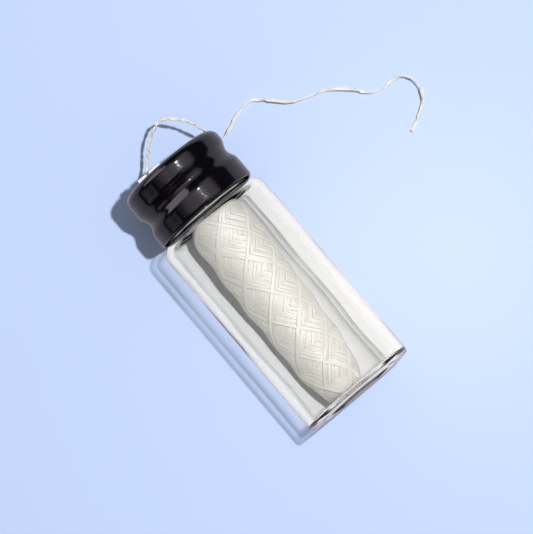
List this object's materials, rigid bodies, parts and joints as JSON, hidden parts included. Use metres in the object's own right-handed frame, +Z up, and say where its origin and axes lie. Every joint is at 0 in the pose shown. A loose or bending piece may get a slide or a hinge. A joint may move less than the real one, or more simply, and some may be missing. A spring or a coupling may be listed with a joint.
{
  "type": "dental floss dispenser",
  "caption": "Clear glass vial lying on its side, holding a cross-wound roll of floss, with a glossy black metal screw cap whose sunk top has an eyelet and a small steel cutter.",
  "frame": {"origin": "bottom centre of the lying vial and cap, without the free floss", "axes": "+X along the vial's axis from its base towards the cap, +Z up from the surface that it lies on, +Y to the left seen from the base, away from the loose end of the floss"},
  "size_m": [0.0691, 0.0628, 0.0255],
  "materials": {
    "clear_glass": "clear polished glass",
    "black_lacquer": "glossy black lacquer on thin sheet steel",
    "liner_foam": "pale closed-cell foam",
    "eyelet_steel": "polished plated steel",
    "cutter_steel": "bright spring steel",
    "rivet_steel": "satin steel",
    "floss_ivory": "waxed ivory floss"
  },
  "bodies": {
    "vial": {"glass_vial": "clear_glass"},
    "roll": {"floss_core": "floss_ivory", "floss_winding": "floss_ivory"},
    "floss_end": {"floss_strand": "floss_ivory", "floss_lead": "floss_ivory"},
    "cap": {"cap_shell": "black_lacquer", "cap_liner": "liner_foam", "floss_eyelet": "eyelet_steel", "cutter_blade": "cutter_steel", "cutter_rivet": "rivet_steel"}
  },
  "joints": [
    {"name": "cap_lift", "type": "slide", "parent": "vial", "child": "floss_end", "axis": [1, 0, 0], "range_m": [0, 0.0045]},
    {"name": "cap_turn", "type": "hinge", "parent": "floss_end", "child": "cap", "pos_m": [0.0235, 0, 0.01275], "axis": [1, 0, 0], "range_deg": [0, 450]},
    {"name": "roll_turn", "type": "hinge", "parent": "vial", "child": "roll", "pos_m": [-0.00573, 0.0009, 0.00913], "axis": [0.9968, -0.052, 0.0614], "continuous": true}
  ],
  "couplings": [
    {"joint": "cap_turn", "follows": "cap_lift", "rad_per_m": 1745.3}
  ]
}
